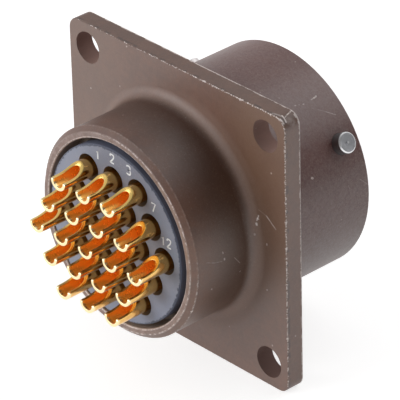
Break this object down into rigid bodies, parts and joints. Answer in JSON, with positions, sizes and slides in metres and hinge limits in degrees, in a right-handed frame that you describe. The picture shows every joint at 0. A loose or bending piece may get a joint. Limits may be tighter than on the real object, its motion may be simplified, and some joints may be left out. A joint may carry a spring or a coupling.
{
  "type": "bayonet circular connector",
  "caption": "Square-flange receptacle of a bayonet-coupled circular connector, with a round shell, solder-cup contacts behind and pins in front.",
  "frame": {"origin": "on the shell's axis, at the solder side of the flange: the centre of the four mounting holes", "axes": "+Y along the shell's axis towards the mating end, -Y towards the solder cups; +Z towards the wide keyway, square to a flange edge; +X right as seen from the solder side"},
  "size_m": [0.0286, 0.0252, 0.0286],
  "materials": {
    "shell_finish": "dull brown-grey conversion coat, worn on the edges",
    "pin_steel": "turned, satin",
    "ring_steel": "spring wire, satin",
    "insert_rubber": "blue-grey resilient insert, matte",
    "wafer_plastic": "hard moulded plastic, matte",
    "insert_plastic": "hard moulded plastic, matte",
    "seal_rubber": "soft seal, matte",
    "contact_gold": "gold plate over copper alloy, polished"
  },
  "bodies": {
    "root": {"shell": "shell_finish", "bayonet_pin_1": "pin_steel", "bayonet_pin_2": "pin_steel", "bayonet_pin_3": "pin_steel", "retaining_ring": "ring_steel", "rear_insulator": "insert_rubber", "contact_wafer": "wafer_plastic", "front_insulator": "insert_plastic", "interfacial_seal": "seal_rubber", "contact_b": "contact_gold", "contact_a": "contact_gold", "contact_m": "contact_gold", "contact_c": "contact_gold", "contact_n": "contact_gold", "contact_u": "contact_gold", "contact_l": "contact_gold", "contact_d": "contact_gold", "contact_p": "contact_gold", "contact_v": "contact_gold", "contact_t": "contact_gold", "contact_k": "contact_gold", "contact_e": "contact_gold", "contact_r": "contact_gold", "contact_s": "contact_gold", "contact_j": "contact_gold", "contact_f": "contact_gold", "contact_g": "contact_gold", "contact_h": "contact_gold"}
  },
  "joints": []
}
